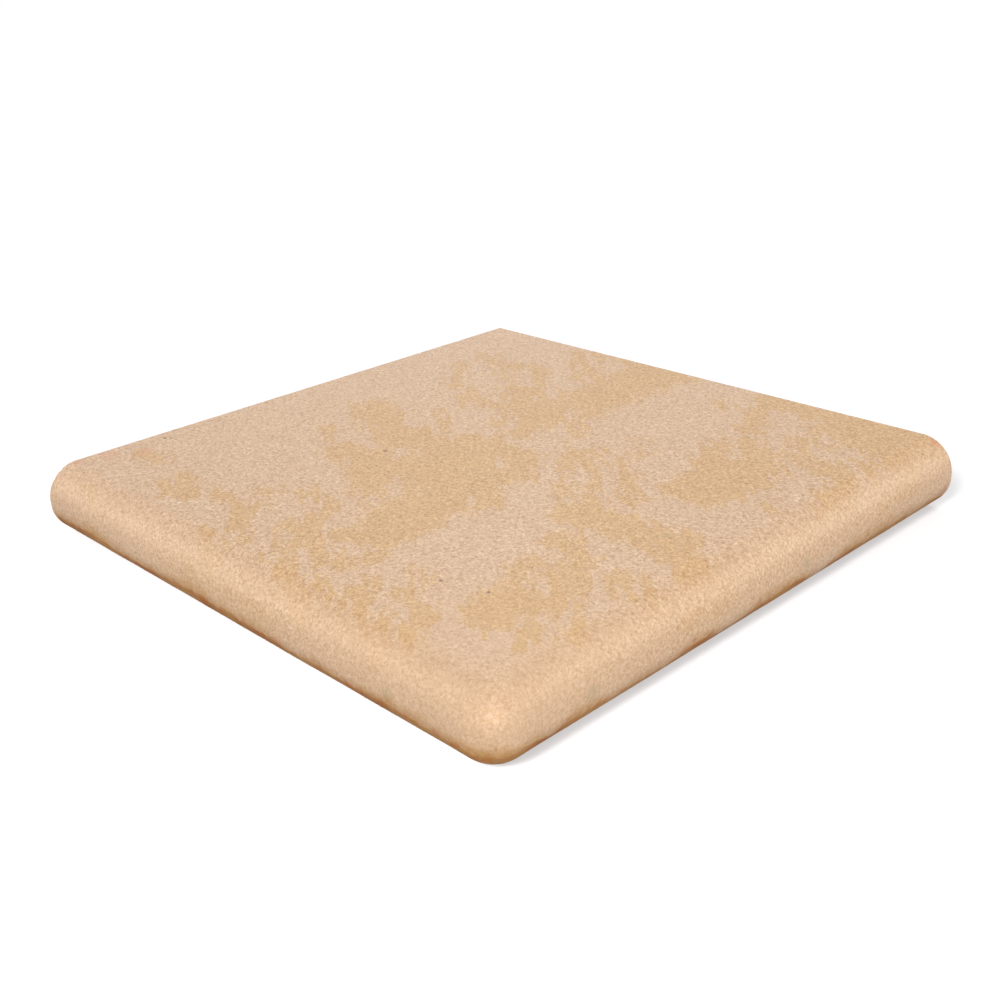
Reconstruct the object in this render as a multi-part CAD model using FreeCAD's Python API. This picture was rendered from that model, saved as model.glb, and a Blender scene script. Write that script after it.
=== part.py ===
import FreeCAD, Part
import math
import os

# Corner stair nosing tile of fired stoneware, pressed in one piece for the outside corner of a flight of steps.
# A square walking slab rolls down on two adjacent sides into a full-round nosing, and the two rolls meet in a
# ball corner. The other two sides are cut square, so that the straight nosing tiles of each tread butt against
# them. Behind the nosing the underside is a recess that sits over the corner of the step, with keying grooves
# in its ceiling for the adhesive.
#
# Frame: millimetres, +Z up, origin on the floor under the middle of the square outline. The front nosing runs
# along -Y, the side nosing along +X, and the cut sides are -X (left) and +Y (back). The tile stands on the
# nosings' feet at Z 0, as it would lie on a level floor.
#
# Sections are drawn by "inset", the distance inwards from the outermost line of the nosing, and by height.

# Driving dimensions
tile_side = 330.0            # square outline, measured over the nosings
slab_thickness = 15.0        # walking slab, without the grooves
roll_radius = 18.0           # upper and lower rounds of the nosing, and the ball of the corner
roll_flat = 2.0              # short upright between the two rounds
foot_width = 6.0             # flat land under the nosing
foot_edge_radius = 3.0       # round between the foot and the nosing's inner wall
inner_wall_draft = 8.0       # degrees, so that the pressed piece leaves its mould
root_fillet = 6.0            # inner wall into the underside of the slab
recess_corner_radius = 8.0   # plan radius where the ceiling of the recess turns the corner
cut_arris = 0.8              # worn-off edge round the two cut sides
key_pitch = 22.0             # keying grooves, middle to middle
key_mouth_width = 12.0       # groove width in the plane of the underside
key_root_width = 9.0         # groove width at its bottom
key_depth = 1.8
key_border = 12.0            # plain land left round the field of grooves

# Sizes that follow
nosing_depth = 2 * roll_radius + roll_flat
ceiling_height = nosing_depth - slab_thickness
half_side = tile_side / 2
draft = math.radians(inner_wall_draft)
overrun = root_fillet        # a cutting shape runs this far past each face that it opens


def upright(inset, height, pivot):
    """A point of a side nosing's section, in the upright plane through the corner's turning axis."""
    return FreeCAD.Vector(half_side - inset, pivot - half_side, height)


def arc_points(centre, radius, first_angle, last_angle):
    """First, middle and last point of an arc of a section, with its angles in degrees in (inset, height)."""
    middle_angle = (first_angle + last_angle) / 2
    points = []
    for angle in (first_angle, middle_angle, last_angle):
        turn = math.radians(angle)
        points.append((centre[0] + radius * math.cos(turn), centre[1] + radius * math.sin(turn)))
    return points


def section_face(stretches, pivot):
    """The filled section whose outline is a ring of stretches: two points for a line, three for an arc."""
    edges = []
    for stretch in stretches:
        points = [upright(inset, height, pivot) for inset, height in stretch]
        if len(points) == 3:
            edges.append(Part.Arc(*points).toShape())
        else:
            edges.append(Part.LineSegment(*points).toShape())
    return Part.Face(Part.Wire(edges))


def carried_round_corner(section, pivot, beyond, low, high):
    """A square block whose edge has the given section: along both nosed sides and turned between them.

    The turning axis stands at the inset `pivot` from both nosed sides. Inside it the block is plain, from
    `low` to `high`, and it runs `beyond` past the two cut sides.
    """
    axis = FreeCAD.Vector(half_side - pivot, pivot - half_side, 0)
    left = -half_side - beyond
    back = half_side + beyond
    side_leg = section.extrude(FreeCAD.Vector(0, back - axis.y, 0))
    corner = section.revolve(axis, FreeCAD.Vector(0, 0, 1), -90)
    turned = section.copy()
    turned.rotate(axis, FreeCAD.Vector(0, 0, 1), -90)
    front_leg = turned.extrude(FreeCAD.Vector(left - axis.x, 0, 0))
    core = Part.makeBox(axis.x - left, back - axis.y, high - low, FreeCAD.Vector(left, axis.y, low))
    return core.fuse([side_leg, corner, front_leg]).removeSplitter()


def rolled_blank():
    """The full-depth block with its full-round nosed sides, ball corner and worn cut edges."""
    upper = arc_points((roll_radius, nosing_depth - roll_radius), roll_radius, 90, 180)
    lower = arc_points((roll_radius, roll_radius), roll_radius, 180, 270)
    section = section_face([upper, [upper[-1], lower[0]], lower, [lower[-1], upper[0]]], roll_radius)
    blank = carried_round_corner(section, roll_radius, 0, 0, nosing_depth)
    worn = []
    for edge in blank.Edges:
        box = edge.BoundBox
        if box.XMax < -half_side + cut_arris / 2 or box.YMin > half_side - cut_arris / 2:
            worn.append(edge)
    return blank.makeFillet(cut_arris, worn)


def recess():
    """The space behind the nosing, as a shape to cut away, and the inset at which its flat ceiling starts."""
    foot_end = roll_radius + foot_width
    foot_edge = arc_points((foot_end, foot_edge_radius), foot_edge_radius, 270, 360 - inner_wall_draft)
    wall_foot = foot_edge[-1]
    root_height = ceiling_height - root_fillet
    rise = root_height - wall_foot[1]
    ceiling_start = wall_foot[0] + (root_fillet + rise * math.sin(draft)) / math.cos(draft)
    root = arc_points((ceiling_start, root_height), root_fillet, 180 - inner_wall_draft, 90)
    pivot = ceiling_start + recess_corner_radius
    outline = [
        [(foot_end, -overrun), foot_edge[0]],
        foot_edge,
        [wall_foot, root[0]],
        root,
        [root[-1], (pivot, ceiling_height)],
        [(pivot, ceiling_height), (pivot, -overrun)],
        [(pivot, -overrun), (foot_end, -overrun)],
    ]
    section = section_face(outline, pivot)
    shape = carried_round_corner(section, pivot, overrun, -overrun, ceiling_height)
    return shape, ceiling_start


def keying_groove(middle_y, end_x):
    """One tapered groove in the ceiling, open at the left cut side and rounded at its closed end."""
    below = ceiling_height - key_depth
    top = ceiling_height + key_depth
    outline = [
        FreeCAD.Vector(end_x, middle_y, below),
        FreeCAD.Vector(end_x, middle_y + key_mouth_width / 2, below),
        FreeCAD.Vector(end_x, middle_y + key_mouth_width / 2, ceiling_height),
        FreeCAD.Vector(end_x, middle_y + key_root_width / 2, top),
        FreeCAD.Vector(end_x, middle_y, top),
    ]
    half = Part.Face(Part.makePolygon(outline + outline[:1]))
    end = half.revolve(outline[0], FreeCAD.Vector(0, 0, 1), -180)
    run = FreeCAD.Vector(-half_side - overrun - end_x, 0, 0)
    mirrored = half.mirror(outline[0], FreeCAD.Vector(0, 1, 0))
    return end.fuse([half.extrude(run), mirrored.extrude(run)]).removeSplitter()


def keying_grooves(ceiling_start):
    """All the grooves, from the back cut side to the front nosing's root."""
    end_x = half_side - ceiling_start - key_border - key_mouth_width / 2
    first_y = half_side - key_border - key_mouth_width / 2
    last_y = ceiling_start - half_side + key_border + key_mouth_width / 2
    count = int((first_y - last_y) / key_pitch) + 1
    return [keying_groove(first_y - key_pitch * index, end_x) for index in range(count)]


def corner_nosing_tile():
    """The finished tile."""
    space, ceiling_start = recess()
    return rolled_blank().cut([space] + keying_grooves(ceiling_start)).removeSplitter()


os.makedirs("parts", exist_ok=True)
tile = corner_nosing_tile()
tile.Solids[0].exportStep("parts/corner_nosing_tile.step")
print("solids", len(tile.Solids), "valid", tile.isValid(), "closed", tile.Solids[0].isClosed())
print("volume cm3", round(tile.Volume / 1000, 1), "faces", len(tile.Faces), "box", tile.BoundBox)
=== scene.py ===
"""Corner stair nosing tile of sand-coloured, satin-glazed stoneware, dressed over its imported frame.

The tile is one pressed and fired piece, so the scene has one piece: a closed skin worked out as arrays over the
same sizes as the CAD solid, with the slight unevenness of glaze and clay pressed into it. Its finish is made of
two materials, the glaze with its sprayed ochre clouds and the bare fired clay of the underside.

Classes keep sizes in millimetres, in the frame of the CAD: +Z up, the floor at 0, the origin under the middle of
the square, the front nosing along -Y and the side nosing along +X. They become metres when the mesh is made.
"""

import itertools
import logging
import math
from dataclasses import dataclass, field, fields
from enum import Enum, IntEnum
from typing import Sequence

import bpy
import numpy as np
from mathutils import Matrix, Vector

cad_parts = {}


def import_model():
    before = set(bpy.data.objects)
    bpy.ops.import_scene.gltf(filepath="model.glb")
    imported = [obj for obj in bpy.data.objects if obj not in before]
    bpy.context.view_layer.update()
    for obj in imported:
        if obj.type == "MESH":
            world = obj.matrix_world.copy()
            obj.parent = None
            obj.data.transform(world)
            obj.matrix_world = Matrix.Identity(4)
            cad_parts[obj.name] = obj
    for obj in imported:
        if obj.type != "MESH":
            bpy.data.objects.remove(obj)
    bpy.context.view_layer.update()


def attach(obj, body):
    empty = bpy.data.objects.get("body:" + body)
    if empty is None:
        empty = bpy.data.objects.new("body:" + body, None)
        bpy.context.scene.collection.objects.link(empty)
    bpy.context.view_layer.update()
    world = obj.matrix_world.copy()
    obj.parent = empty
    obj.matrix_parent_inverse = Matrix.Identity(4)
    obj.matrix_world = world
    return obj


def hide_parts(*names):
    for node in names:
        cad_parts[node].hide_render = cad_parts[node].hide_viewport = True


Array = np.ndarray
Colour = tuple[float, float, float]
Socket = bpy.types.NodeSocket
MM = 0.001
TINY = 1e-9
WHITE = (1.0, 1.0, 1.0)
NODE = "corner_nosing_tile"
BODY = "root"
log = logging.getLogger("tile")



class Finish(IntEnum):
    """The material of a face, as its place in the mesh's list of materials."""

    GLAZE = 0
    CLAY = 1


def from_srgb(red: int, green: int, blue: int) -> Colour:
    """A colour given as 0 to 255 display values, in the linear values that shaders use.

    Args:
        red: Display red.
        green: Display green.
        blue: Display blue.

    Returns:
        The three linear values.
    """
    display = np.array([red, green, blue]) / 255
    linear = np.where(display <= 0.04045, display / 12.92, ((display + 0.055) / 1.055) ** 2.4)
    return tuple(float(part) for part in linear)


def smooth_step(values: Array, low: float, high: float) -> Array:
    """0 below low, 1 above high, and the cubic 3t^2 - 2t^3 between them."""
    part = np.clip((values - low) / (high - low), 0, 1)
    return part * part * (3 - 2 * part)


def graded(stops: Sequence[float], cells: Sequence[int]) -> Array:
    """Places of grid lines, where each stretch between two stops is divided evenly.

    Args:
        stops: The ends of the stretches, in order.
        cells: How many cells each stretch has, one fewer than the stops.

    Returns:
        All the lines, both outer stops included.
    """
    runs = [np.linspace(a, b, count, endpoint=False) for a, b, count in zip(stops, stops[1:], cells)]
    return np.concatenate(runs + [np.array([stops[-1]])])


def arc(middle: Sequence[float], radius: float, ends: Sequence[float], cells: int) -> Array:
    """Points of an arc, evenly spaced between two angles, as rows of two coordinates."""
    turn = np.linspace(*ends, cells + 1)
    return np.array(middle) + radius * np.stack([np.cos(turn), np.sin(turn)], -1)


def unit(vectors: Array) -> Array:
    """The same vectors with length 1."""
    return vectors / np.maximum(np.linalg.norm(vectors, axis=-1, keepdims=True), TINY)
@dataclass(frozen=True)
class SoftNoise:
    """A smooth random field in space: octaves of value noise, each half as long and half as strong."""

    seed: int
    wavelength: float
    octaves: int = 3
    lattice: int = 48

    def at(self, points: Array) -> Array:
        """The field at points.

        Random values stand on a cubic lattice, and between them the value is blended with the cubic 3t^2 - 2t^3
        along each axis.

        Args:
            points: Places in millimetres, the last axis holding x, y and z.

        Returns:
            Values from about -1 to 1.
        """
        random = np.random.default_rng(self.seed)
        total = np.zeros(points.shape[:-1])
        for octave in range(self.octaves):
            values = random.uniform(-1, 1, (self.lattice,) * 3)
            place = points / (self.wavelength * 0.5**octave) + self.lattice
            cell = np.floor(place).astype(int)
            part = place - cell
            ease = part * part * (3 - 2 * part)
            for corner in itertools.product((0, 1), repeat=3):
                share = np.prod(np.where(corner, ease, 1 - ease), axis=-1)
                x, y, z = np.moveaxis((cell + corner) % self.lattice, -1, 0)
                total += 0.5**octave * share * values[x, y, z]
        return total


@dataclass(frozen=True)
class Stroke:
    """One soft-edged stroke of the glaze print, straight, on the tile's surface laid flat."""

    x0: float
    y0: float
    x1: float
    y1: float
    reach: float

    def inside(self, x: Array, y: Array) -> Array:
        """How far each place lies inside the stroke: its reach less the distance to its middle line.

        Args:
            x: Places along the front nosing.
            y: Places along the side nosing.

        Returns:
            Distances, below 0 outside.
        """
        along_x, along_y = self.x1 - self.x0, self.y1 - self.y0
        length = max(along_x**2 + along_y**2, TINY)
        share = np.clip(((x - self.x0) * along_x + (y - self.y0) * along_y) / length, 0, 1)
        return self.reach - np.hypot(x - self.x0 - share * along_x, y - self.y0 - share * along_y)


@dataclass(frozen=True)
class CloudPrint:
    """The sprayed clouds of the glaze, as listed strokes laid on the surface with its nosings unrolled.

    The strokes are in millimetres. The front nosing goes on below y = -147 and the side nosing beyond x = 147.
    """

    ochre: tuple[tuple[float, ...], ...] = (
        # back, left of the middle
        (-72, 160, 0, 158, 6), (-86, 155, -45, 126, 5), (-80, 146, -46, 114, 3), (-22, 150, -18, 78, 22),
        (-58, 84, -42, 60, 10), (-48, 72, -22, 48, 10), (-16, 66, -14, 30, 8), (-4, 66, 13, 44, 4),
        (-46, 52, -32, 34, 3),
        # thin bands on the left
        (-131, 114, -106, 106, 4), (-123, 125, -109, 110, 3), (-102, 111, -90, 116, 5), (-90, 115, -73, 110, 6),
        (-73, 110, -60, 92, 6), (-100, 102, -64, 79, 4), (-127, 96, -103, 66, 4), (-102, 66, -80, 57, 4),
        (-80, 57, -55, 50, 5), (-70, 78, -50, 54, 5), (-84, 52, -72, 43, 3),
        # middle
        (-104, 7, -56, -20, 12), (-118, 4, -104, -6, 5), (-23, 3, 13, 0, 15), (-66, -10, 20, -13, 14),
        (-66, -46, -26, -46, 12), (-50, -46, -12, -70, 12), (-17, -33, 25, -46, 20), (20, -66, 26, -99, 17),
        (-3, -79, 13, -96, 5), (-102, -30, -80, -43, 3), (-71, 28, -46, 4, 3),
        # front, left of the middle
        (-56, -108, -36, -93, 4), (-38, -92, -14, -96, 4), (-15, -97, -4, -120, 7), (-7, -119, 33, -130, 8),
        (13, -112, 43, -119, 7), (-101, -122, -77, -132, 5), (-98, -134, -86, -140, 4), (-140, -114, -127, -122, 4),
        (-149, -117, -144, -123, 3), (-71, -122, -64, -123, 4), (-53, -123, -27, -138, 5), (-3, -132, 20, -147, 4),
        (-41, -120, -36, -124, 3), (-24, -140, -14, -147, 3), (-38, -149, -33, -151, 3), (-24, -155, -17, -160, 3),
        (-134, -161, -112, -163, 2),
        # back, right of the middle
        (58, 158, 156, 155, 12), (112, 145, 152, 130, 14), (62, 146, 76, 112, 7), (109, 116, 134, 92, 10),
        (142, 124, 146, 99, 7), (149, 100, 156, 62, 7), (92, 86, 95, 66, 19), (104, 70, 106, 34, 19),
        (112, 64, 122, 58, 8), (40, 64, 54, 50, 2), (37, 141, 46, 133, 2), (137, 42, 144, 36, 2),
        # slanted streaks right of the middle
        (30, 32, 62, 2, 6), (62, 2, 76, -12, 4), (50, 40, 88, 0, 5), (28, 26, 58, -14, 4), (36, 42, 50, 26, 2),
        # side, towards the front
        (79, -25, 132, -22, 13), (132, -26, 152, -36, 10), (92, -50, 104, -62, 9), (112, -64, 152, -64, 7),
        (112, -78, 122, -96, 17), (116, -100, 118, -116, 16), (138, -90, 152, -107, 3), (136, -116, 145, -128, 3),
        (66, -110, 76, -118, 3), (76, -128, 100, -138, 5), (92, -136, 106, -150, 5), (92, -153, 100, -160, 3),
        (58, -130, 74, -143, 3), (60, -142, 88, -158, 4), (44, -148, 56, -156, 4), (26, -152, 46, -160, 6),
        # the two nosings
        (-50, -173, 36, -173, 4), (171, -52, 171, -26, 4), (171, 98, 171, 124, 4),
    )
    pale: tuple[tuple[float, ...], ...] = (
        (-58, 156, -52, 142, 5), (-90, 105, -66, 95, 5), (-113, 89, -80, 70, 4), (-74, 72, -60, 60, 3),
        (-15, 76, -8, 66, 2), (-106, -21, -80, -33, 4), (-48, -31, -40, -36, 2), (5, -3, 11, -8, 2),
        (28, -43, 35, -49, 2), (-8, -60, -2, -67, 4), (-8, -78, 9, -102, 4), (25, -117, 32, -119, 4),
        (84, 139, 97, 126, 7), (84, 114, 100, 95, 2), (116, 114, 128, 105, 4), (132, 119, 143, 107, 4),
        (132, 107, 139, 100, 2), (152, 96, 154, 93, 4), (124, 84, 150, 52, 6), (79, 91, 92, 76, 3),
        (108, -45, 124, -58, 5),
        (122, -37, 130, -42, 2), (144, -43, 153, -56, 4), (142, -58, 150, -66, 2), (95, -64, 108, -75, 3),
        (106, -82, 116, -89, 3), (46, 40, 59, 23, 2), (45, 14, 70, -14, 2), (63, 9, 86, -10, 2),
        (78, -118, 90, -127, 3),
    )
    full_width: float = 24.0

    def at(self, x: Array, y: Array) -> Array:
        """How ochre the print is at places of the flat surface.

        The strokes of one tone join to the largest of their distances inside, the pale ones are cut out of the
        ochre ones, and the distance that is left runs from 0 to 1 over `full_width`, with 0.5 on the outline.

        Args:
            x: Places along the front nosing, in millimetres.
            y: Places along the side nosing, in millimetres.

        Returns:
            Values from 0 to 1.
        """
        ochre, pale = (
            np.max([Stroke(*sizes).inside(x, y) for sizes in strokes], axis=0) for strokes in (self.ochre, self.pale)
        )
        return np.clip(0.5 + np.minimum(ochre, -pale) / self.full_width, 0, 1)


@dataclass(frozen=True)
class Chip:
    """A small bite out of an edge: its middle, its radius and how deep it goes, in millimetres."""

    middle: tuple[float, float, float]
    radius: float
    depth: float

    def bite(self, points: Array) -> Array:
        """How deep the chip is at points: a bowl, deepest in the middle and nothing beyond its radius."""
        far = np.linalg.norm(points - np.array(self.middle), axis=-1) / self.radius
        return self.depth * np.sqrt(np.clip(1 - far**2, 0, 1))


@dataclass(frozen=True)
class Skin:
    """A grid of points of the surface with what goes with each of them."""

    points: Array
    outward: Array
    flat: Array
    glaze: Array
    rub: Array

    def joined(self, *others: "Skin") -> "Skin":
        """This skin and the others as one list of points.

        Args:
            others: The skins that follow this one.

        Returns:
            One skin whose arrays are lists.
        """
        parts = [self, *others]
        lists = ([getattr(part, item.name).reshape(part.glaze.size, -1) for part in parts] for item in fields(Skin))
        return Skin(*(np.concatenate(rows).squeeze() for rows in lists))


@dataclass(frozen=True)
class Contact:
    """Where a small ball inside the tile touches one face, over the whole grid."""

    points: Array
    outward: Array
    flat: Array

    def column(self, axis: int) -> "Contact":
        """The line next to a cut side, 0 for the left one and 1 for the back one."""
        parts = (np.take(grid, 2, axis=axis) for grid in (self.points, self.outward, self.flat))
        return Contact(*parts)


@dataclass(frozen=True)
class NosingTile:
    """The tile's sizes, and its surface as grids of points.

    Two families of lines cover both faces of the tile. A line of the first family stands at a distance `p` from
    the left cut side, and one of the second at a distance `q` from the back cut side. On the slab they are plain
    distances, and past the crest of a nosing they go on over its round. Where both are past the crest the lines
    bend round the ball corner: the larger distance says how far down, and the ratio of the two says how far
    round.
    """

    side: float = 330.0
    depth: float = 38.0
    slab: float = 15.0
    round_radius: float = 18.0
    foot_width: float = 6.0
    foot_round: float = 3.0
    wall_draft: float = 8.0
    root_fillet: float = 6.0
    recess_corner: float = 8.0
    arris: float = 0.8
    groove_pitch: float = 22.0
    groove_mouth: float = 12.0
    groove_root: float = 9.0
    groove_depth: float = 1.8
    groove_border: float = 12.0
    groove_end_margin: float = 1.5
    side_cells: int = 5
    round_cells: int = 20
    inner_cells: tuple[int, ...] = (5, 6, 5, 4, 4)
    groove_cells: tuple[int, ...] = (6, 1, 5, 1)
    border_cells: int = 12
    slab_cells: int = 138
    glaze_edge: float = 10.5
    glaze_blend: float = 17.0
    glaze_front_rise: float = 3.0
    cut_glaze: float = 1.2
    cut_blend: float = 4.0
    rub_width: float = 3.0

    @property
    def half(self) -> float:
        """Half the side."""
        return self.side / 2

    @property
    def crest(self) -> float:
        """Distance from a cut side to the line where the slab starts to roll down."""
        return self.side - self.round_radius

    @property
    def ceiling(self) -> float:
        """Height of the underside of the slab."""
        return self.depth - self.slab

    @property
    def quarter(self) -> float:
        """Length of surface over a quarter of the round."""
        return self.round_radius * math.pi / 2

    @property
    def equator(self) -> float:
        """Length of surface from the crest to half the nosing's depth."""
        return self.quarter + self.depth / 2 - self.round_radius

    @property
    def ceiling_start(self) -> float:
        """Inset at which the flat ceiling of the recess starts, from the foot, the draft and the fillet."""
        draft = math.radians(self.wall_draft)
        foot_x = self.round_radius + self.foot_width + self.foot_round * math.cos(draft)
        foot_z = self.foot_round * (1 - math.sin(draft))
        rise = self.ceiling - self.root_fillet - foot_z
        return foot_x + (self.root_fillet + rise * math.sin(draft)) / math.cos(draft)

    @property
    def recess_turn(self) -> float:
        """Inset of the upright axis about which the recess turns the corner."""
        return self.ceiling_start + self.recess_corner

    def inner_section(self) -> Array:
        """The recess's section as rows of inset and height, from the ceiling to the foot's outer edge.

        Five stretches follow each other: the ceiling, the root fillet as an arc, the drafted wall as a line, the
        foot's edge as an arc, and the foot's flat land.

        Returns:
            The rows, in order.
        """
        draft = math.radians(self.wall_draft)
        ceiling, fillet, wall, edge, land = self.inner_cells
        root_middle = (self.ceiling_start, self.ceiling - self.root_fillet)
        root = arc(root_middle, self.root_fillet, (math.pi / 2, math.pi - draft), fillet)
        foot_middle = (self.round_radius + self.foot_width, self.foot_round)
        foot = arc(foot_middle, self.foot_round, (-draft, -math.pi / 2), edge)
        runs = [
            np.linspace((self.recess_turn, self.ceiling), root[0], ceiling + 1),
            root,
            np.linspace(root[-1], foot[0], wall + 1),
            foot,
            np.linspace(foot[-1], (self.round_radius, 0), land + 1),
        ]
        return np.concatenate([runs[0][:1]] + [run[1:] for run in runs])

    def groove_middles(self) -> Array:
        """Y of each keying groove's middle line, from the back."""
        first = self.half - self.groove_border - self.groove_mouth / 2
        last = self.ceiling_start - self.half + self.groove_border + self.groove_mouth / 2
        return first - self.groove_pitch * np.arange(int((first - last) / self.groove_pitch) + 1)

    @property
    def groove_end(self) -> float:
        """X at which a groove's middle line ends."""
        return self.half - self.ceiling_start - self.groove_border - self.groove_mouth / 2

    def lines(self) -> tuple[Array, Array]:
        """The two families of lines, `p` and `q`, close together over arrises, groove edges and rounds.

        Returns:
            The places of both families.
        """
        soft = self.arris * (1 - math.tan(math.pi / 8))
        rim, root, end = self.groove_mouth / 2, self.groove_root / 2, self.half + self.groove_end
        over = [self.side - self.recess_turn, self.crest, self.crest + self.quarter, self.crest + self.equator]
        over_cells = [sum(self.inner_cells), self.round_cells, 1]
        p = graded(
            [0, soft, self.arris, end - self.groove_end_margin, end + rim + self.groove_end_margin, *over],
            [1, 1, self.slab_cells, self.border_cells, 2, *over_cells],
        )
        stops, cells = [0.0, soft, self.arris], [1, 1]
        for middle in self.half - self.groove_middles():
            stops += [middle - rim, middle - root, middle + root, middle + rim]
            cells += self.groove_cells
        return p, graded(stops + over, [*cells, self.border_cells, *over_cells])

    def round_the_corner(self, a: Array, b: Array) -> Array:
        """Angle round the ball corner, 0 on the side nosing and a quarter turn on the front one."""
        most = np.maximum(np.maximum(a, b), TINY)
        return np.where(a >= b, b / most, 2 - a / most) * math.pi / 4

    def upper(self, p: Array, q: Array) -> tuple[Array, Array]:
        """The walking face and the upper half of the nosings.

        Past the crest a point stands at radius R sin(m / R) from the crest line and R (1 - cos(m / R)) below the
        top, where m is the larger of the two distances past the crest. After a quarter turn it goes straight
        down.

        Args:
            p: Lines of the first family, at each point of the grid.
            q: Lines of the second family, at each point of the grid.

        Returns:
            The points, and the same points with the nosings unrolled.
        """
        a, b = np.maximum(p - self.crest, 0), np.maximum(q - self.crest, 0)
        most = np.maximum(a, b)
        turn = self.round_the_corner(a, b)
        tilt = np.minimum(most / self.round_radius, math.pi / 2)
        out = self.round_radius * np.sin(tilt)
        down = self.round_radius * (1 - np.cos(tilt)) + np.maximum(most - self.quarter, 0)
        x, y = np.minimum(p, self.crest) - self.half, self.half - np.minimum(q, self.crest)
        points = np.stack([x + out * np.cos(turn), y - out * np.sin(turn), self.depth - down], -1)
        flat = np.stack([x + most * np.cos(turn), y - most * np.sin(turn), np.zeros_like(x)], -1)
        return points, flat

    def groove(self, x: Array, y: Array) -> Array:
        """Depth of the keying grooves: full over the root, and sloping to nothing at the mouth's edge.

        Args:
            x: Places along the front nosing.
            y: Places along the side nosing.

        Returns:
            Depths at the places.
        """
        middles = self.groove_middles()
        nearest = np.clip(np.round((middles[0] - y) / self.groove_pitch), 0, len(middles) - 1)
        off = np.hypot(np.maximum(x - self.groove_end, 0), y - middles[0] + self.groove_pitch * nearest)
        slope = (self.groove_mouth - self.groove_root) / 2
        return self.groove_depth * np.clip((self.groove_mouth / 2 - off) / slope, 0, 1)

    def lower(self, p: Array, q: Array) -> tuple[Array, Array]:
        """The lower half of the nosings, the foot, and the recess with its grooved ceiling.

        The lower round is the upper one mirrored at half depth. Inside the crest the lines follow the recess's
        section. Its rings are circles about the recess's turning axis, and over the foot's land they blend into
        the square on which the lower rounds end.

        Args:
            p: Lines of the first family, at each point of the grid.
            q: Lines of the second family, at each point of the grid.

        Returns:
            The points, and the same points with the nosings unrolled.
        """
        points, flat = self.upper(p, q)
        points[..., 2] = self.depth - points[..., 2]
        turn = self.side - self.recess_turn
        steps, land = sum(self.inner_cells), self.inner_cells[-1]
        a, b = (np.clip((line - turn) / (self.crest - turn), 0, 1) * steps for line in (p, q))
        ring = np.maximum(a, b)
        insets, heights = self.inner_section().T
        out = self.recess_turn - np.interp(ring, np.arange(steps + 1), insets)
        angle = self.round_the_corner(a, b)
        square = np.clip((ring - steps + land) / land, 0, 1)
        most = np.maximum(ring, TINY)
        x = np.minimum(p, turn) - self.half + out * ((1 - square) * np.cos(angle) + square * a / most)
        y = self.half - np.minimum(q, turn) - out * ((1 - square) * np.sin(angle) + square * b / most)
        z = np.interp(ring, np.arange(steps + 1), heights) + np.where(ring > 0, 0, self.groove(x, y))
        inner = np.stack([x, y, z], -1)
        past = np.maximum(np.maximum(p, q) - self.crest, 0)
        edge_x, edge_y = np.minimum(p, self.crest) - self.half, self.half - np.minimum(q, self.crest)
        edge = np.stack([edge_x, edge_y, np.zeros_like(p)], -1)
        unrolled = edge + (flat - edge) * (2 * self.equator / np.maximum(past, TINY) - 1)[..., None]
        is_round = (past > 0)[..., None]
        return np.where(is_round, points, inner), np.where(is_round, unrolled, inner * (1, 1, 0))

    @staticmethod
    def facing(points: Array, sign: float) -> Array:
        """Outward directions of a grid: the cross product of its two chords at each point, times a sign."""
        return sign * unit(np.cross(np.gradient(points, axis=0), np.gradient(points, axis=1)))

    def eased(self, points: Array, outward: Array, left: Array, back: Array, up: Array) -> tuple[Array, Array]:
        """Points of a surface with its arrises at the cut sides rounded off.

        A ball of the arris radius rolls inside the surface. A point lies on that ball in the direction made of
        three parts: towards the left cut side, towards the back cut side, and outwards from the face.

        Args:
            points: The face where the ball touches it.
            outward: The face's outward directions there.
            left: The share of the direction towards the left cut side.
            back: The share of the direction towards the back cut side.
            up: The share of the direction outwards from the face.

        Returns:
            The points and their own outward directions.
        """
        left, back, up = np.broadcast_arrays(left, back, up)
        cut = np.stack([-left, back, np.zeros_like(left)], -1)
        away = unit(cut + up[..., None] * outward)
        return points + self.arris * (away - outward), away

    def contact(self, sign: int) -> Contact:
        """Where the ball of the arris touches the upper face, for a sign of 1, or the lower, for -1.

        Over the arrises the lines of both families repeat the third one, whose place is the ball's last.

        Args:
            sign: Which face.

        Returns:
            The touching points over the whole grid.
        """
        p, q = np.meshgrid(*self.lines(), indexing="ij")
        shape = self.upper if sign > 0 else self.lower
        points, flat = shape(np.maximum(p, self.arris), np.maximum(q, self.arris))
        outward = np.empty_like(points)
        outward[2:, 2:] = self.facing(points[2:, 2:], -sign)
        outward[:2, 2:] = outward[2, 2:]
        outward[:, :2] = outward[:, 2:3]
        return Contact(points, outward, flat)

    def face(self, sign: int, contact: Contact) -> Skin:
        """The upper face of the tile, for a sign of 1, or the lower, for -1, with its arrises rounded off.

        Args:
            sign: Which face.
            contact: Where the rolling ball touches it.

        Returns:
            The face.
        """
        p, q = np.meshgrid(*self.lines(), indexing="ij")
        left, back = np.maximum(self.arris - p, 0), np.maximum(self.arris - q, 0)
        points, away = self.eased(contact.points, contact.outward, left, back, self.arris)
        glaze = self.glaze_over(points)
        rolled = np.maximum(p, q) > self.crest
        rub = np.clip(1 - np.minimum(p, q) / self.rub_width, 0, 1)
        return Skin(points, away, contact.flat, np.where(rolled | (sign > 0), glaze, 0), rub)

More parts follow.
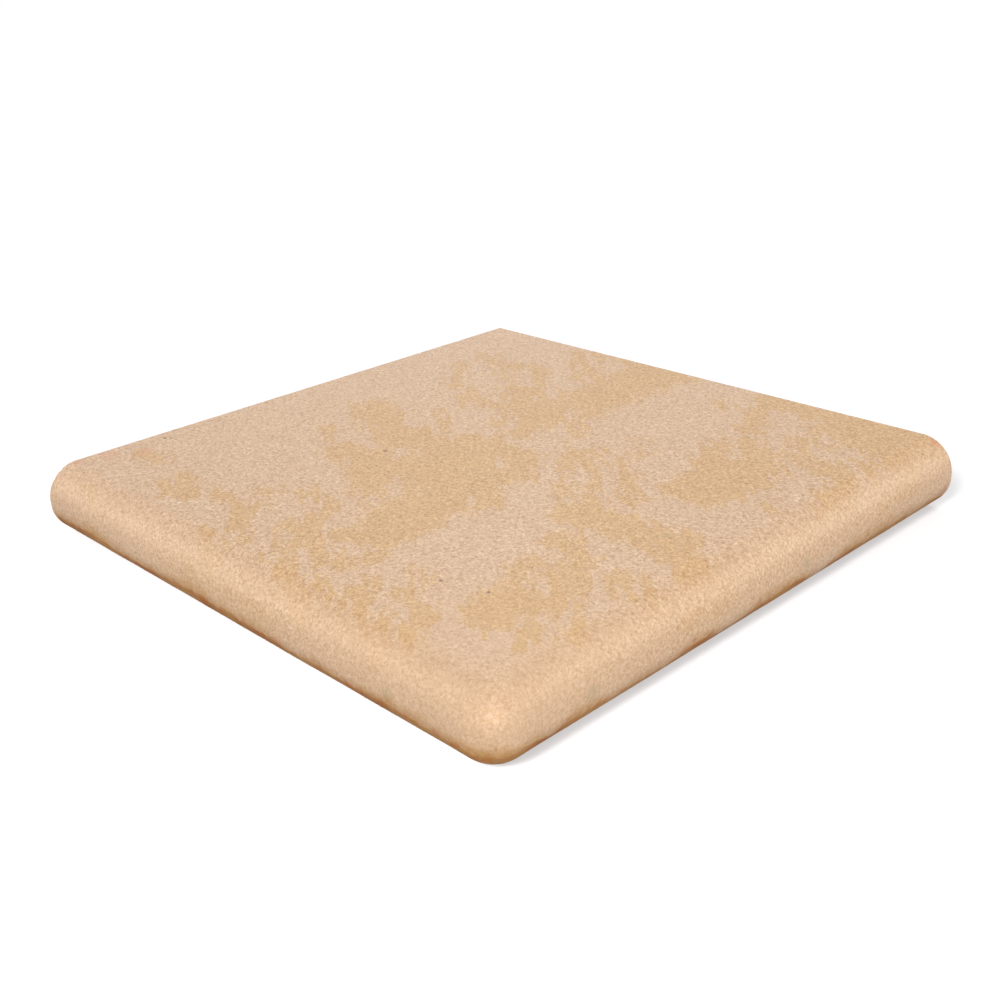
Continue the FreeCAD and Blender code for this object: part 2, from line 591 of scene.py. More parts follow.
    def glaze_over(self, points: Array) -> Array:
        """Cover of the glaze by height: 0.5 at its lower edge, and 0 to 1 over the blend across it.

        The edge is higher on the front nosing than on the side one, so the darkening towards it, partly painted
        shade, also starts higher there.

        Args:
            points: Places on the tile.

        Returns:
            Cover from 0 to 1.
        """
        roll = self.half - self.round_radius
        past_front, past_side = np.maximum(-points[..., 1] - roll, 0), np.maximum(points[..., 0] - roll, 0)
        front_share = past_front / np.maximum(past_front + past_side, TINY)
        edge = self.glaze_edge + self.glaze_front_rise * front_share
        return np.clip(0.5 + (points[..., 2] - edge) / self.glaze_blend, 0, 1)

    def cut_side(self, axis: int, upper: Contact, lower: Contact) -> Skin:
        """One cut side between the two faces, without the rows that it shares with them.

        Each column goes from the upper face to the lower one: over the upper arris, down the cut in even steps,
        and over the lower arris.

        Args:
            axis: 0 for the left cut side, 1 for the back one.
            upper: Where the rolling ball touches the upper face.
            lower: Where it touches the lower face.

        Returns:
            The rows of points.
        """
        top, low = upper.column(axis), lower.column(axis)
        near = np.maximum(self.arris - self.lines()[1 - axis], 0)
        full = np.full_like(near, self.arris)
        left, back = (full, near) if axis == 0 else (near, full)
        bends = np.array([[0.0], [self.arris * math.tan(math.pi / 8)]])
        over, over_away = self.eased(top.points, top.outward, left, back, bends[::-1])
        under, under_away = self.eased(low.points, low.outward, left, back, bends)
        share = np.linspace(0, 1, self.side_cells + 1)[1:-1, None, None]
        middle = over[1] + share * (under[0] - over[1])
        points = np.concatenate([over, middle, under])
        away = np.concatenate([over_away, np.broadcast_to(over_away[1], middle.shape), under_away])
        drop = np.linalg.norm(points - top.points, axis=-1)
        rise = np.linalg.norm(points - low.points, axis=-1)
        glaze = np.clip(0.5 + (self.cut_glaze - drop) / self.cut_blend, 0, 1)
        rub = np.clip(1 - np.minimum(drop, rise) / self.rub_width, 0, 1)
        flat = np.broadcast_to(top.flat, points.shape)
        return Skin(points, away, flat, np.minimum(glaze, self.glaze_over(points)), rub)


def placed(name: str, data: bpy.types.ID) -> bpy.types.Object:
    """A new object with the given data, in the scene.

    Args:
        name: Its name.
        data: Its mesh, lamp or camera.

    Returns:
        The object.
    """
    thing = bpy.data.objects.new(name, data)
    bpy.context.scene.collection.objects.link(thing)
    return thing


@dataclass(frozen=True)
class TileMesh:
    """Builds the dressed tile: one closed mesh with its unevenness, its print and its finishes."""

    tile: NosingTile = field(default_factory=NosingTile)
    clouds: CloudPrint = field(default_factory=CloudPrint)
    glaze_wave: SoftNoise = SoftNoise(seed=11, wavelength=16.0, octaves=2)
    clay_wave: SoftNoise = SoftNoise(seed=23, wavelength=22.0, octaves=4)
    edge_wave: SoftNoise = SoftNoise(seed=37, wavelength=24.0, octaves=3)
    glaze_relief: float = 0.05
    clay_relief: float = 0.22
    edge_shift: float = 0.16
    sharp_from: float = 38.0
    chips: tuple[Chip, ...] = (
        Chip((-165.0, -156.8, 35.1), 1.2, 0.6),
        Chip((-165.0, -160.4, 31.4), 1.0, 0.5),
        Chip((-165.0, 126.4, 38.0), 1.2, 0.5),
        Chip((-165.0, -40.0, 23.0), 2.6, 0.9),
        Chip((70.0, 165.0, 23.0), 2.2, 0.8),
    )

    def surface(self) -> tuple[Skin, Array]:
        """All the points of the tile, and its faces as rows of four point numbers.

        The two faces of the tile share their rows at the equator, the cut sides share their outer rows with the
        faces and the upright arris with each other, and at the equator the rows of a cut side close up to two
        points. A face that closes up to a triangle there repeats one of its points.

        Returns:
            The points as one skin, and the faces.
        """
        tile = self.tile
        above, below = tile.contact(1), tile.contact(-1)
        upper, lower = tile.face(1, above), tile.face(-1, below)
        top = np.arange(upper.glaze.size).reshape(upper.glaze.shape)
        low = top + top.size
        low[-1, :], low[:, -1] = top[-1, :], top[:, -1]
        sides, faces = [], [self.squares(top)[:, ::-1], self.squares(low)]
        start = 2 * top.size
        for axis in (0, 1):
            rows = tile.cut_side(axis, above, below)
            numbers = start + np.arange(rows.glaze.size).reshape(rows.glaze.shape)
            start += rows.glaze.size
            numbers[1:-1, -1] = numbers[1, -1]
            numbers[-1, -1] = numbers[0, -1]
            if axis == 0:
                arris_numbers = numbers[:, 0]
            else:
                numbers[:, 0] = arris_numbers
            ends = [np.take(grid, 0, axis=axis)[None] for grid in (top, low)]
            squares = self.squares(np.concatenate([ends[0], numbers, ends[1]]))
            faces.append(squares if axis == 0 else squares[:, ::-1])
            sides.append(rows)
        return upper.joined(lower, *sides), np.concatenate(faces)

    @staticmethod
    def squares(numbers: Array) -> Array:
        """The faces between the points of a grid, each going first along rows and then along columns."""
        corners = (numbers[:-1, :-1], numbers[1:, :-1], numbers[1:, 1:], numbers[:-1, 1:])
        return np.stack([corner.ravel() for corner in corners], -1)

    def uneven(self, skin: Skin) -> Array:
        """How far each point sinks: gentle waves, deeper in the clay than in the glaze, and the chips.

        Args:
            skin: All the points.

        Returns:
            Depths in millimetres.
        """
        waves = (0.5 + 0.5 * np.clip(noise.at(skin.points), -1, 1) for noise in (self.glaze_wave, self.clay_wave))
        glaze, clay = waves
        cover = smooth_step(skin.glaze, 0.3, 0.7)
        sink = cover * self.glaze_relief * glaze + (1 - cover) * self.clay_relief * clay
        for chip in self.chips:
            sink = np.maximum(sink, chip.bite(skin.points))
        return sink

    def build(self, name: str, materials: Sequence[bpy.types.Material]) -> bpy.types.Object:
        """The finished piece.

        Args:
            name: The piece's name.
            materials: Its materials, in the order of Finish.

        Returns:
            The object, linked to the scene, at the origin.
        """
        skin, faces = self.surface()
        used, renumbered = np.unique(faces, return_inverse=True)
        faces = renumbered.reshape(faces.shape)
        points = (skin.points - self.uneven(skin)[:, None] * skin.outward)[used]
        flat, glaze, rub = skin.flat[used], skin.glaze[used], skin.rub[used]
        shifted = glaze + np.where(glaze < 1, self.edge_shift * self.edge_wave.at(points), 0)
        glaze = np.clip(shifted, 0, 1) * (glaze > 0)
        mesh = bpy.data.meshes.new(name)
        rings = [tuple(dict.fromkeys(face)) for face in faces.tolist()]
        mesh.from_pydata((points * MM).tolist(), [], rings, shade_flat=False)
        finish = np.where(glaze[faces].max(axis=1) > 0, Finish.GLAZE, Finish.CLAY)
        mesh.polygons.foreach_set("material_index", finish.astype(np.int32))
        values = {"glaze_cover": glaze, "edge_rub": rub, "ochre_cloud": self.clouds.at(flat[:, 0], flat[:, 1])}
        for title, data in values.items():
            mesh.attributes.new(title, "FLOAT", "POINT").data.foreach_set("value", data.astype(np.float32))
        spread = mesh.attributes.new("print_place", "FLOAT_VECTOR", "POINT")
        spread.data.foreach_set("vector", (flat * MM).astype(np.float32).ravel())
        mesh.set_sharp_from_angle(angle=math.radians(self.sharp_from))
        for material in materials:
            mesh.materials.append(material)
        mesh.validate()
        log.info("%s: %d points, %d faces", name, len(points), len(rings))
        return placed(name, mesh)


class NodeSheet:
    """Adds nodes to one tree and joins them. A value may be a number, a colour or a socket."""

    def __init__(self, tree: bpy.types.NodeTree) -> None:
        """Starts on a tree, counting the nodes that are added."""
        self.tree = tree
        self.count = 0

    def add(self, kind: str, settings: dict[str, object] | None = None, **inputs: object) -> bpy.types.Node:
        """A new node.

        Args:
            kind: The node's type without its ShaderNode prefix.
            settings: The node's own properties.
            inputs: Values by input name, with spaces written as underscores, or in<number> for a place.

        Returns:
            The node.
        """
        node = self.tree.nodes.new("ShaderNode" + kind)
        node.location = (220 * (self.count // 6), -260 * (self.count % 6))
        self.count += 1
        for title, value in (settings or {}).items():
            setattr(node, title, value)
        for title, value in inputs.items():
            place = int(title[2:]) if title[:2] == "in" and title[2:].isdigit() else title.replace("_", " ")
            self.put(value, node.inputs[place])
        return node

    def put(self, value: object, target: Socket) -> None:
        """Joins a socket to the target, or writes a plain value into it.

        Args:
            value: A socket, a number, or a colour or place as a tuple.
            target: The input that takes it.
        """
        if isinstance(value, Socket):
            self.tree.links.new(value, target)
        elif isinstance(value, tuple) and target.type == "RGBA":
            target.default_value = (*value, 1.0)
        else:
            target.default_value = value

    def math(self, operation: str, *values: object) -> Socket:
        """The result of a Math node on one to three values."""
        inputs = {f"in{place}": value for place, value in enumerate(values)}
        return self.add("Math", {"operation": operation}, **inputs).outputs[0]

    def times(self, first: object, second: object) -> Socket:
        """The product of two values."""
        return self.math("MULTIPLY", first, second)

    def scaled(self, value: object, factor: object, start: object) -> Socket:
        """A value times a factor, plus a start."""
        return self.math("MULTIPLY_ADD", value, factor, start)

    def ramp(self, value: Socket, low: float, high: float, to_low: float = 0.0, to_high: float = 1.0) -> Socket:
        """A smooth step of a value between two limits.

        Args:
            value: The value.
            low: Where the step starts.
            high: Where it ends.
            to_low: The result at the start.
            to_high: The result at the end.

        Returns:
            The result.
        """
        limits = {"From_Min": low, "From_Max": high, "To_Min": to_low, "To_Max": to_high}
        node = self.add("MapRange", {"interpolation_type": "SMOOTHSTEP"}, Value=value, **limits)
        return node.outputs["Result"]

    def mix(self, share: object, first: object, second: object, way: str = "MIX") -> Socket:
        """Two colours mixed by a share."""
        settings = {"data_type": "RGBA", "blend_type": way}
        return self.add("Mix", settings, in0=share, in6=first, in7=second).outputs[2]

    def blend(self, share: object, first: object, second: object) -> Socket:
        """Two numbers mixed by a share."""
        return self.add("Mix", {"data_type": "FLOAT"}, in0=share, in2=first, in3=second).outputs[0]

    def noise(self, place: object, size: float, detail: float = 2.0, rough: float = 0.5, bend: float = 0.0) -> Socket:
        """Noise from 0 to 1, with features of about the given size in millimetres."""
        shape = {"Detail": detail, "Roughness": rough, "Distortion": bend}
        return self.add("TexNoise", None, Vector=place, Scale=1 / (size * MM), **shape).outputs["Fac"]

    def specks(self, place: Socket, size: float, chosen: tuple[float, float], rim: tuple[float, float]) -> Socket:
        """Round spots in the middle of some cells of a random pattern.

        Args:
            place: Where the pattern is looked up.
            size: Size of a cell in millimetres.
            chosen: Between which of the cells' random values, from 0 to 1, their spots come in.
            rim: At which distances from its middle a spot starts and is full, as shares of the cell's size.

        Returns:
            0 outside the spots and 1 in them.
        """
        cells = self.add("TexVoronoi", None, Vector=place, Scale=1 / (size * MM))
        return self.times(self.ramp(cells.outputs["Color"], *chosen), self.ramp(cells.outputs["Distance"], *rim))

    def distance(self, place: Socket, x: float, y: float) -> Socket:
        """Distance in metres to a point of the flat surface that is given in millimetres."""
        settings = {"operation": "DISTANCE"}
        return self.add("VectorMath", settings, in0=place, in1=(x * MM, y * MM, 0.0)).outputs["Value"]

    def attribute(self, name: str, vector: bool = False) -> Socket:
        """A vertex attribute of the piece."""
        return self.add("Attribute", {"attribute_name": name}).outputs["Vector" if vector else "Fac"]

    def bump(self, height: Socket, depth: float) -> Socket:
        """A normal from a height of 0 to 1 that stands for so many millimetres."""
        return self.add("Bump", None, Strength=1.0, Distance=depth * MM, Height=height).outputs["Normal"]

    def group(self, tree: bpy.types.NodeTree, **inputs: object) -> bpy.types.Node:
        """A node group placed with its values."""
        return self.add("Group", {"node_tree": tree}, **inputs)


def new_material(name: str) -> tuple[bpy.types.Material, NodeSheet, bpy.types.NodeInputs]:
    """A material with its sheet of nodes and the inputs of its Principled shader.

    Args:
        name: Its name.

    Returns:
        The material, the sheet and the inputs.
    """
    material = bpy.data.materials.new(name)
    material.use_nodes = True
    return material, NodeSheet(material.node_tree), material.node_tree.nodes["Principled BSDF"].inputs


@dataclass
class SharedEffects:
    """The node groups of the materials, each built once."""

    sand: bpy.types.NodeTree = field(init=False)
    clay: bpy.types.NodeTree = field(init=False)
    pore_colour: Colour = (0.10, 0.05, 0.03)

    def __post_init__(self) -> None:
        """Builds the groups."""
        self.sand, self.clay = self.sand_grain(), self.fired_clay()

    @staticmethod
    def new_group(name: str, inputs: dict[str, str], outputs: dict[str, str]) -> tuple[NodeSheet, dict, dict]:
        """An empty group with its sockets.

        Args:
            name: The group's name.
            inputs: Kinds of the input sockets by name.
            outputs: Kinds of the output sockets by name.

        Returns:
            Its sheet, the sockets that its inputs give inside it, and the sockets to join its outputs to.
        """
        tree = bpy.data.node_groups.new(name, "ShaderNodeTree")
        for way, sockets in (("INPUT", inputs), ("OUTPUT", outputs)):
            for title, kind in sockets.items():
                tree.interface.new_socket(name=title, in_out=way, socket_type="NodeSocket" + kind)
        entry, leave = tree.nodes.new("NodeGroupInput"), tree.nodes.new("NodeGroupOutput")
        given = {title: entry.outputs[title] for title in inputs}
        wanted = {title: leave.inputs[title] for title in outputs}
        return NodeSheet(tree), given, wanted

    def sand_grain(self) -> bpy.types.NodeTree:
        """Wormy sand grain with a few dark pinholes and pale grains.

        Returns:
            The group.
        """
        sheet, given, wanted = self.new_group(
            "sand_grain", {"Place": "Vector", "Contrast": "Float"},
            {"Tone": "Float", "Height": "Float", "Dark": "Float", "Light": "Float"},
        )
        place = given["Place"]
        worm, fine = sheet.noise(place, 1.6, 1.0, bend=0.8), sheet.noise(place, 0.8, 1.0)
        both = sheet.blend(0.38, worm, fine)
        sheet.put(sheet.times(sheet.math("SUBTRACT", both, 0.5), given["Contrast"]), wanted["Tone"])
        sheet.put(both, wanted["Height"])
        sheet.put(sheet.specks(place, 5.0, (0.90, 0.93), (0.14, 0.05)), wanted["Dark"])
        sheet.put(sheet.specks(place, 3.6, (0.94, 0.97), (0.14, 0.05)), wanted["Light"])
        return sheet.tree

    def fired_clay(self) -> bpy.types.NodeTree:
        """Bare fired clay: warm body colour, darker flashing from the kiln, grog, pores and rubbed arrises.

        An arris is rubbed to the colour of the grog where the edge value and a patchy noise add up.

        Returns:
            The group.
        """
        sheet, given, wanted = self.new_group(
            "fired_clay", {"Place": "Vector", "Edge": "Float", "Body": "Color", "Flash": "Color", "Grog": "Color"},
            {"Color": "Color", "Roughness": "Float", "Height": "Float"},
        )
        place, grog = given["Place"], given["Grog"]
        cloud, grain = sheet.noise(place, 38.0, 4.0, 0.6), sheet.noise(place, 1.1, 3.0, 0.65)
        pore = sheet.specks(place, 2.6, (0.70, 0.78), (0.22, 0.06))
        colour = sheet.mix(sheet.ramp(cloud, 0.40, 0.66), given["Body"], given["Flash"])
        colour = sheet.mix(sheet.ramp(grain, 0.30, 0.75, 0.0, 0.5), colour, grog, "SOFT_LIGHT")
        colour = sheet.mix(sheet.times(pore, 0.45), colour, self.pore_colour)
        worn = sheet.math("ADD", given["Edge"], sheet.math("SUBTRACT", sheet.noise(place, 7.0, 4.0, 0.7), 1.12))
        sheet.put(sheet.mix(sheet.ramp(worn, 0.0, 0.35, 0.0, 0.5), colour, grog), wanted["Color"])
        sheet.put(sheet.ramp(grain, 0.25, 0.75, 0.72, 0.92), wanted["Roughness"])
        sheet.put(sheet.math("SUBTRACT", grain, sheet.times(pore, 0.7)), wanted["Height"])
        return sheet.tree


@dataclass(frozen=True)
class ClayColours:
    """Colours of the bare clay, the same in both materials."""

    body: Colour = from_srgb(190, 142, 92)
    flash: Colour = from_srgb(160, 98, 58)
    grog: Colour = from_srgb(226, 196, 160)

    def laid(self, sheet: NodeSheet, effects: SharedEffects, place: Socket) -> dict[str, Socket]:
        """The fired clay in these colours, as its sockets by name.

        Args:
            sheet: The material's sheet.
            effects: The shared groups.
            place: Place on the piece.

        Returns:
            The sockets.
        """
        edge = sheet.attribute("edge_rub")
        return sheet.group(
            effects.clay, Place=place, Edge=edge, Body=self.body, Flash=self.flash, Grog=self.grog
        ).outputs


@dataclass(frozen=True)
class BareClay:
    """The unglazed underside and cut sides."""

    name: str = "bare_clay"
    colours: ClayColours = ClayColours()
    relief: float = 0.30

    def make(self, effects: SharedEffects) -> bpy.types.Material:
        """Makes the material.

        Args:
            effects: The shared groups.

        Returns:
            The finished material.
        """
        material, sheet, shader = new_material(self.name)
        clay = self.colours.laid(sheet, effects, sheet.add("TexCoord").outputs["Object"])
        sheet.put(clay["Color"], shader["Base Color"])
        sheet.put(clay["Roughness"], shader["Roughness"])
        sheet.put(sheet.bump(clay["Height"], self.relief), shader["Normal"])
        return material


class Spot(Enum):
    """Colours of the small marks in the glaze."""

    PINHOLE = from_srgb(110, 70, 44)
    DEEP_PINHOLE = from_srgb(100, 58, 34)
    PALE_GRAIN = from_srgb(255, 238, 218)
    SALMON = from_srgb(232, 166, 138)
    APRICOT = from_srgb(232, 150, 112)
    BRICK = from_srgb(214, 120, 90)
    GREY_GREEN = from_srgb(190, 176, 140)


@dataclass(frozen=True)
class Mark:
    """A small spot of another colour in the glaze: its place on the flat surface and its radius, in millimetres."""

    x: float
    y: float
    radius: float
    spot: Spot
    strength: float
    core: float = 0.3

    def over(self, sheet: NodeSheet, flat: Socket, colour: Socket) -> Socket:
        """The colour with the spot in it, full within its core and soft towards its rim."""
        near = sheet.ramp(sheet.distance(flat, self.x, self.y), self.radius * MM, self.radius * MM * self.core)
        return sheet.mix(sheet.times(near, self.strength), colour, self.spot.value)


@dataclass(frozen=True)
class SatinGlaze:
    """The satin glaze: a pale sand ground, ochre clouds with feathered streaky edges, and sandy grain.

    Over the nosings the print is pulled towards its pale tone, a painted highlight, and the grain is weaker. Towards
    its lower edge the glaze gets darker and browner, partly as thinner glaze and partly as painted shade where the
    nosing turns under; it is flushed in patches there and ends in a ragged line on the bare clay.
    """

    name: str = "satin_sand_glaze"
    pale: Colour = from_srgb(228, 191, 157)
    ochre: Colour = from_srgb(223, 180, 131)
    # darkening colour towards the glaze's lower edge: partly thinner glaze, partly painted shade where the nosings
    # turn under
    thinned: Colour = (0.76, 0.58, 0.28)
    flush: Colour = from_srgb(196, 96, 40)
    grain_dark: Colour = from_srgb(150, 104, 70)
    grain_light: Colour = from_srgb(244, 226, 204)
    gleam: Colour = (1.0, 0.74, 0.46)
    clay: ClayColours = ClayColours()
    relief: float = 0.03
    contrast: float = 1.9
    streak_slant: float = 40.0
    streak_stretch: float = 4.2
    roll_edges: tuple[float, float] = (148.0, 160.0)
    # the print over the nosings is pulled this far towards a mostly pale tone: a painted highlight along the nosings
    roll_painted_highlight: float = 0.7
    roll_highlight_ochre: float = 0.12
    roll_grain: float = -0.25
    corner: tuple[float, float] = (152.0, -152.0)
    corner_edges: tuple[float, float] = (10.0, 115.0)
    corner_grain: float = 0.62
    tint_shares: Colour = (0.74, 1.08, 1.40)
    marks: tuple[Mark, ...] = (
        Mark(-156.5, -99.0, 1.5, Spot.DEEP_PINHOLE, 0.9), Mark(81.5, -112.5, 1.3, Spot.DEEP_PINHOLE, 0.8),
        Mark(104.0, -106.5, 1.2, Spot.PINHOLE, 0.8), Mark(-49.0, -33.0, 1.5, Spot.PINHOLE, 0.8),
        Mark(-73.5, -141.0, 1.7, Spot.PALE_GRAIN, 0.8), Mark(-71.0, -137.0, 1.4, Spot.PALE_GRAIN, 0.7),
        Mark(-146.0, -117.0, 7.0, Spot.SALMON, 0.35), Mark(-157.0, -132.0, 8.0, Spot.SALMON, 0.40),
        Mark(-161.0, -148.5, 6.0, Spot.SALMON, 0.30), Mark(156.5, 162.5, 5.0, Spot.APRICOT, 0.35),
        Mark(182.5, 159.0, 5.0, Spot.BRICK, 0.35), Mark(107.5, -177.0, 5.0, Spot.GREY_GREEN, 0.35),
        Mark(176.5, -112.0, 5.0, Spot.GREY_GREEN, 0.35), Mark(176.0, 31.5, 5.0, Spot.GREY_GREEN, 0.35),
        Mark(124.0, -17.5, 4.0, Spot.GREY_GREEN, 0.30),
    )

    def print_mask(self, sheet: NodeSheet, flat: Socket) -> Socket:
        """Where the print is ochre, from 0 to 1.

        The laid strokes are shifted by noise drawn out along the strokes' slant, so their edges break into
        feathers and small islands.

        Args:
            sheet: The material's sheet.
            flat: Place on the flat surface.

        Returns:
            The mask.
        """
        turned = sheet.add("Mapping", None, Vector=flat, Rotation=(0.0, 0.0, math.radians(self.streak_slant)))
        drawn = sheet.add("Mapping", None, Vector=turned.outputs[0], Scale=(1.0, self.streak_stretch, 1.0))
        streak, sand = sheet.noise(drawn.outputs[0], 22.0, 3.0, 0.6, 0.4), sheet.noise(flat, 2.6, 2.0, 0.6)
        shifted = sheet.math("ADD", sheet.attribute("ochre_cloud"), sheet.scaled(streak, 1.6, -0.8))
        shifted = sheet.math("ADD", shifted, sheet.scaled(sand, 0.9, -0.45))
        return sheet.ramp(shifted, 0.40, 0.60)

    def rolled(self, sheet: NodeSheet, flat: Socket) -> Socket:
        """How far over a nosing a place is: 0 on the slab and 1 on the round.

        Args:
            sheet: The material's sheet.
            flat: Place on the flat surface.

        Returns:
            The mask.
        """
        parts = sheet.add("SeparateXYZ", None, Vector=flat).outputs
        outermost = sheet.math("MAXIMUM", parts["X"], sheet.times(parts["Y"], -1.0))
        return sheet.ramp(outermost, *(edge * MM for edge in self.roll_edges))

    def calm_corner(self, sheet: NodeSheet, flat: Socket) -> Socket:
        """How strong the grain is: full over most of the tile, and weaker on the smooth ball corner."""
        away = sheet.distance(flat, *self.corner)
        return sheet.ramp(away, *(edge * MM for edge in self.corner_edges), self.corner_grain, 1.0)

    def tinted(self, sheet: NodeSheet, colour: Socket, tone: Socket) -> Socket:
        """A colour made lighter by a share of itself, or darker where the tone is below 0, blue the most.

        Args:
            sheet: The material's sheet.
            colour: The colour.
            tone: The share.

        Returns:
            The new colour.
        """
        red, green, blue = (sheet.scaled(tone, share, 1.0) for share in self.tint_shares)
        gain = sheet.add("CombineColor", None, Red=red, Green=green, Blue=blue).outputs[0]
        return sheet.mix(1.0, colour, gain, "MULTIPLY")

    def make(self, effects: SharedEffects) -> bpy.types.Material:
        """Makes the material.

        Args:
            effects: The shared groups.

        Returns:
            The finished material.
        """
        material, sheet, shader = new_material(self.name)
        flat = sheet.attribute("print_place", vector=True)
        place = sheet.add("TexCoord").outputs["Object"]
        rolled, calm = self.rolled(sheet, flat), self.calm_corner(sheet, flat)
        grain = sheet.group(effects.sand, Place=place, Contrast=self.contrast).outputs
        # over the nosings the print goes mostly pale: painted highlight along the nosings
        ochre = sheet.blend(sheet.times(rolled, self.roll_painted_highlight), self.print_mask(sheet, flat), self.roll_highlight_ochre)
        colour = sheet.mix(ochre, self.pale, self.ochre)
        tone = sheet.times(grain["Tone"], sheet.scaled(rolled, self.roll_grain, 1.0))
        colour = self.tinted(sheet, colour, sheet.times(tone, calm))
        colour = self.tinted(sheet, colour, sheet.scaled(sheet.noise(flat, 34.0, 3.0, 0.55), 0.10, -0.05))
        colour = sheet.mix(sheet.times(grain["Dark"], 0.55), colour, self.grain_dark)
        colour = sheet.mix(sheet.times(grain["Light"], 0.45), colour, self.grain_light)
        for mark in self.marks:
            colour = mark.over(sheet, flat, colour)
        fray = sheet.scaled(sheet.noise(place, 6.0, 4.0, 0.65), 0.4, -0.2)
        ragged = sheet.math("ADD", sheet.attribute("glaze_cover"), fray)
        # the second mask darkens and browns the glaze towards its lower edge: partly thinner glaze, partly painted
        # shade where the nosings turn under
        glazed, thin_and_shade = sheet.ramp(ragged, 0.36, 0.54), sheet.ramp(ragged, 0.88, 0.45)
        colour = sheet.mix(sheet.times(thin_and_shade, 0.85), colour, self.thinned, "MULTIPLY")
        clay = self.clay.laid(sheet, effects, place)
        colour = sheet.mix(glazed, clay["Color"], colour)
        patches = sheet.ramp(sheet.noise(place, 4.5), 0.52, 0.62)
        flush = sheet.times(patches, sheet.ramp(ragged, 0.68, 0.52))
        colour = sheet.mix(sheet.times(flush, 0.40), colour, self.flush)
        sheet.put(colour, shader["Base Color"])
        satin = sheet.scaled(grain["Height"], 0.16, 0.31)
        sheet.put(sheet.blend(glazed, clay["Roughness"], satin), shader["Roughness"])
        smooth = sheet.times(grain["Height"], sheet.times(calm, 0.5))
        height = sheet.blend(glazed, clay["Height"], smooth)
        sheet.put(sheet.bump(height, self.relief), shader["Normal"])
        sheet.put(self.gleam, shader["Specular Tint"])
        return material


@dataclass(frozen=True)
class SoftLamp:
    """One round soft lamp aimed at the tile, given by where it stands in the sky."""

    name: str
    azimuth: float
    elevation: float
    width: float
    power: float
    distance: float = 2.0

    def place(self, only: bpy.types.Object | None = None) -> None:
        """Adds the lamp. Where one object is given, the lamp lights that alone, with the shadows of all.

        Args:
            only: The one object that it lights, if any.
        """
        data = bpy.data.lights.new(self.name, "AREA")
        data.shape, data.size, data.energy = "DISK", self.width, self.power
        lamp = placed(self.name, data)
        # the azimuth turns from +X towards +Y, and the elevation rises from the floor
        turn, rise = math.radians(self.azimuth), math.radians(self.elevation)
        away = Vector((math.cos(rise) * math.cos(turn), math.cos(rise) * math.sin(turn), math.sin(rise)))
        lamp.location = away * self.distance
        lamp.rotation_euler = away.to_track_quat("Z", "Y").to_euler()
        lamp.visible_camera = False
        if only is not None:
            receivers = bpy.data.collections.new(self.name)
            receivers.objects.link(only)
            lamp.light_linking.receiver_collection = receivers
        log.info("lamp %s: azimuth %.0f, elevation %.0f", self.name, self.azimuth, self.elevation)


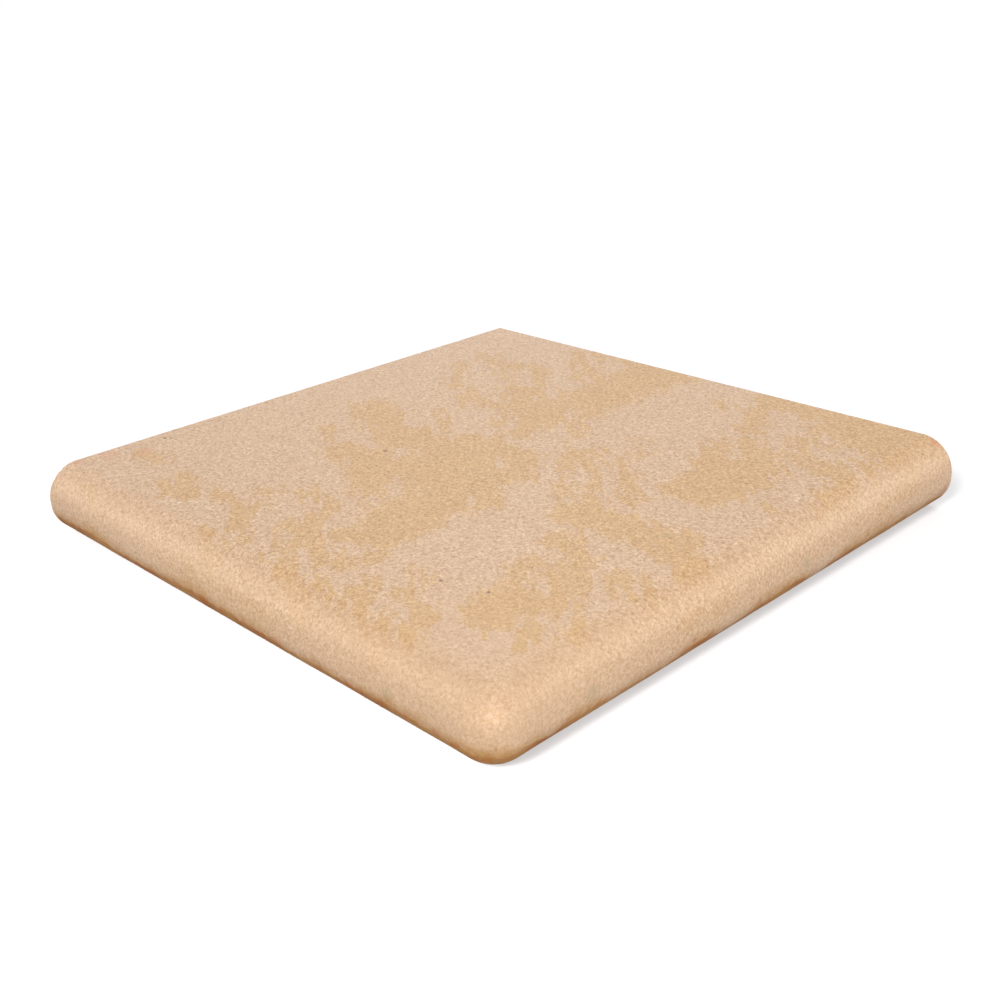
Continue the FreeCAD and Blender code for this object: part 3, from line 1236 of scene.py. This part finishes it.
@dataclass(frozen=True)
class Studio:
    """White floor, soft lamps, pale surroundings and the camera, in metres."""

    lamps: tuple[SoftLamp, ...] = (
        SoftLamp("lamp_left", -137.0, 20.0, 1.35, 9.4),
        SoftLamp("lamp_right", 47.0, 21.0, 1.35, 9.4),
        SoftLamp("lamp_key", -44.0, 18.0, 1.3, 26.5),
        SoftLamp("lamp_back", 136.0, 50.0, 1.2, 9.0),
    )
    floor_lamp: SoftLamp = SoftLamp("lamp_floor", -68.0, 36.0, 0.5, 42.0)
    sky: float = 0.32
    floor_half: float = 6.0
    floor_colour: Colour = (0.56, 0.56, 0.57)
    floor_bounce: Colour = (0.10, 0.10, 0.10)
    floor_lift: float = 0.38
    floor_gloss: float = 0.60
    floor_near: float = 0.30
    floor_far: float = 0.70
    eye: tuple[float, float, float] = (0.44355, -0.42253, 0.28290)
    forward: tuple[float, float, float] = (-0.66176, 0.63220, -0.40298)
    right: tuple[float, float, float] = (0.70168, 0.71159, -0.03593)
    lens: float = 46.426
    sensor: float = 36.0
    nearest: float = 0.01

    @staticmethod
    def ray_kinds(sheet: NodeSheet) -> tuple[Socket, Socket]:
        """Two masks: rays straight from the camera, and rays that gloss or glass sends on."""
        path = sheet.add("LightPath").outputs
        return path["Is Camera Ray"], sheet.math("MAXIMUM", path["Is Glossy Ray"], path["Is Transmission Ray"])

    def floor(self) -> bpy.types.Object:
        """A wide floor that the camera sees as white, with the tile's shadow kept.

        Returns:
            The floor.
        """
        half = self.floor_half
        mesh = bpy.data.meshes.new("studio_floor")
        mesh.from_pydata([(-half, -half, 0), (half, -half, 0), (half, half, 0), (-half, half, 0)], [], [(0, 1, 2, 3)])
        material, sheet, shader = new_material("studio_floor")
        seen, sent = self.ray_kinds(sheet)
        sheet.put(sheet.mix(seen, self.floor_bounce, self.floor_colour), shader["Base Color"])
        for title, value in {"Roughness": 1.0, "Specular IOR Level": 0.0, "Emission Color": WHITE}.items():
            sheet.put(value, shader[title])
        far = sheet.distance(sheet.add("TexCoord").outputs["Object"], 0.0, 0.0)
        lift = sheet.ramp(far, self.floor_near, self.floor_far, self.floor_lift, 1.0)
        sheet.put(sheet.scaled(seen, lift, sheet.times(sent, self.floor_gloss)), shader["Emission Strength"])
        mesh.materials.append(material)
        floor = placed("studio_floor", mesh)
        return floor

    def surroundings(self) -> None:
        """An even pale sky, white where the camera sees it."""
        world = bpy.data.worlds.new("studio_sky")
        bpy.context.scene.world = world
        world.use_nodes = True
        sheet = NodeSheet(world.node_tree)
        background = world.node_tree.nodes["Background"].inputs
        sheet.put(WHITE, background["Color"])
        sheet.put(sheet.blend(sheet.math("ADD", *self.ray_kinds(sheet)), self.sky, 1.0), background["Strength"])

    def camera(self) -> None:
        """The camera, at the photograph's place and angle."""
        data = bpy.data.cameras.new("camera")
        data.lens, data.sensor_width, data.clip_start = self.lens, self.sensor, self.nearest
        camera = placed("camera", data)
        back, right = -Vector(self.forward), Vector(self.right)
        camera.matrix_world = Matrix((right, back.cross(right), back)).transposed().to_4x4()
        camera.location = self.eye
        bpy.context.scene.camera = camera

    def build(self) -> None:
        """Adds everything round the tile."""
        bpy.context.scene.view_settings.view_transform = "Standard"
        self.floor_lamp.place(only=self.floor())
        self.surroundings()
        for lamp in self.lamps:
            lamp.place()
        self.camera()
        log.info("studio: %d lamps", len(self.lamps))


def main() -> None:
    """Loads the frame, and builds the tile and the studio."""
    logging.basicConfig(level=logging.INFO, format="%(name)s: %(message)s")
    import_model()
    effects = SharedEffects()
    materials = [SatinGlaze().make(effects), BareClay().make(effects)]
    piece = TileMesh().build("glazed_tile", materials)
    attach(piece, BODY)
    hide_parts(NODE)
    Studio().build()


if __name__ == "__main__":
    main()
